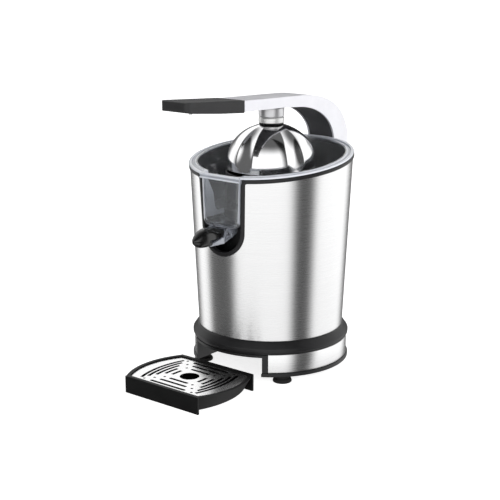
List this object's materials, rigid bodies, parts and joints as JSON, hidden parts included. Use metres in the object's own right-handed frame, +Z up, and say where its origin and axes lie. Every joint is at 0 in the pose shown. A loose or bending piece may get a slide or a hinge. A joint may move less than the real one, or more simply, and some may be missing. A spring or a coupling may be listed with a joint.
{
  "type": "citrus press juicer",
  "caption": "Lever citrus press with a steel body, clear juice collector, drip-stop spout, press dome on a hinged arm and a loose drip tray.",
  "frame": {"origin": "on the table under the middle of the whole object's footprint, tray included", "axes": "+Z up; -Y the front, where the spout, the tray and the handle grip are; X across the body, the narrowest way"},
  "size_m": [0.2072, 0.3466, 0.353],
  "materials": {
    "black_plastic": "satin black moulded plastic",
    "rubber": "matt black rubber",
    "brushed_steel": "horizontally brushed stainless steel",
    "steel_hardware": "plain machined steel",
    "chrome": "mirror polished",
    "silver_metal": "satin silver die casting",
    "dark_grey_plastic": "satin dark grey moulded plastic",
    "clear_plastic": "clear, very slightly blue",
    "grey_plastic": "matt mid grey moulded plastic",
    "white_nylon": "natural nylon",
    "copper_winding": "lacquered copper wire on a steel core",
    "bronze": "sintered bronze"
  },
  "bodies": {
    "base": {"plinth": "black_plastic", "base_band": "brushed_steel", "bottom_cover": "black_plastic", "foot_1": "rubber", "foot_2": "rubber", "foot_3": "rubber", "foot_4": "rubber", "cord_gland": "rubber", "tie_rod_1": "steel_hardware", "tie_rod_2": "steel_hardware", "tie_rod_3": "steel_hardware", "body_shell": "brushed_steel", "rim_trim": "black_plastic", "inner_housing": "black_plastic", "terminal_block": "white_nylon", "motor_can": "steel_hardware", "field_ring": "grey_plastic", "motor_end_cap": "grey_plastic", "motor_mount": "grey_plastic", "idler_pin": "steel_hardware", "gearbox_housing": "grey_plastic", "gearbox_cover": "grey_plastic", "shaft_bush": "bronze", "shaft_seal": "rubber", "microswitch": "grey_plastic", "switch_bracket": "steel_hardware", "juice_collector": "clear_plastic", "spout_pin": "steel_hardware", "strainer": "black_plastic", "hinge_bracket": "black_plastic", "hinge_pin": "steel_hardware"},
    "arm": {"press_arm": "silver_metal", "arm_liner": "dark_grey_plastic", "grip_core": "steel_hardware", "handle_grip": "black_plastic", "grip_screw_1": "steel_hardware", "grip_screw_2": "steel_hardware", "neck_collar": "chrome", "neck_sleeve": "silver_metal", "neck_gasket": "rubber", "press_dome": "chrome", "dome_bolt": "steel_hardware", "dome_nut": "steel_hardware"},
    "rotor": {"motor_rotor": "copper_winding", "motor_pinion": "steel_hardware", "cooling_fan": "grey_plastic"},
    "idler": {"idler_gear": "white_nylon"},
    "drive": {"output_gear": "white_nylon", "return_spring": "steel_hardware"},
    "cone": {"reamer_cone": "black_plastic", "drive_shaft": "steel_hardware"},
    "plunger": {"switch_plunger": "white_nylon"},
    "spout": {"spout": "black_plastic"},
    "tray": {"drip_tray": "black_plastic"},
    "grille": {"tray_grille": "brushed_steel"}
  },
  "joints": [
    {"name": "arm_lift", "type": "hinge", "parent": "base", "child": "arm", "pos_m": [0, 0.15725, 0.24], "axis": [-1, 0, 0], "range_deg": [0, 75]},
    {"name": "motor_spin", "type": "hinge", "parent": "base", "child": "rotor", "pos_m": [0, 0.07648, 0.08], "axis": [0, 0, 1], "continuous": true},
    {"name": "idler_spin", "type": "hinge", "parent": "base", "child": "idler", "pos_m": [0.03, 0.05586, 0.121], "axis": [0, 0, 1], "continuous": true},
    {"name": "cone_spin", "type": "hinge", "parent": "base", "child": "drive", "pos_m": [0, 0.03525, 0.131], "axis": [0, 0, 1], "continuous": true},
    {"name": "cone_press", "type": "slide", "parent": "drive", "child": "cone", "axis": [0, 0, -1], "range_m": [0, 0.002], "stiffness_N_per_m": 4000, "springref_m": -0.004, "deforming": ["return_spring"]},
    {"name": "switch_press", "type": "slide", "parent": "base", "child": "plunger", "axis": [0, 0, -1], "range_m": [0, 0.002]},
    {"name": "spout_tip", "type": "hinge", "parent": "base", "child": "spout", "pos_m": [0, -0.06625, 0.1875], "axis": [-1, 0, 0], "range_deg": [0, 40]},
    {"name": "tray_pull", "type": "slide", "parent": "base", "child": "tray", "axis": [0, -1, 0], "range_m": [0, 0.12]},
    {"name": "grille_lift", "type": "slide", "parent": "tray", "child": "grille", "axis": [0, 0, 1], "range_m": [0, 0.05]}
  ],
  "couplings": [
    {"joint": "idler_spin", "follows": "motor_spin", "ratio": -0.3},
    {"joint": "cone_spin", "follows": "motor_spin", "ratio": 0.09},
    {"joint": "switch_press", "follows": "cone_press", "ratio": 1}
  ]
}
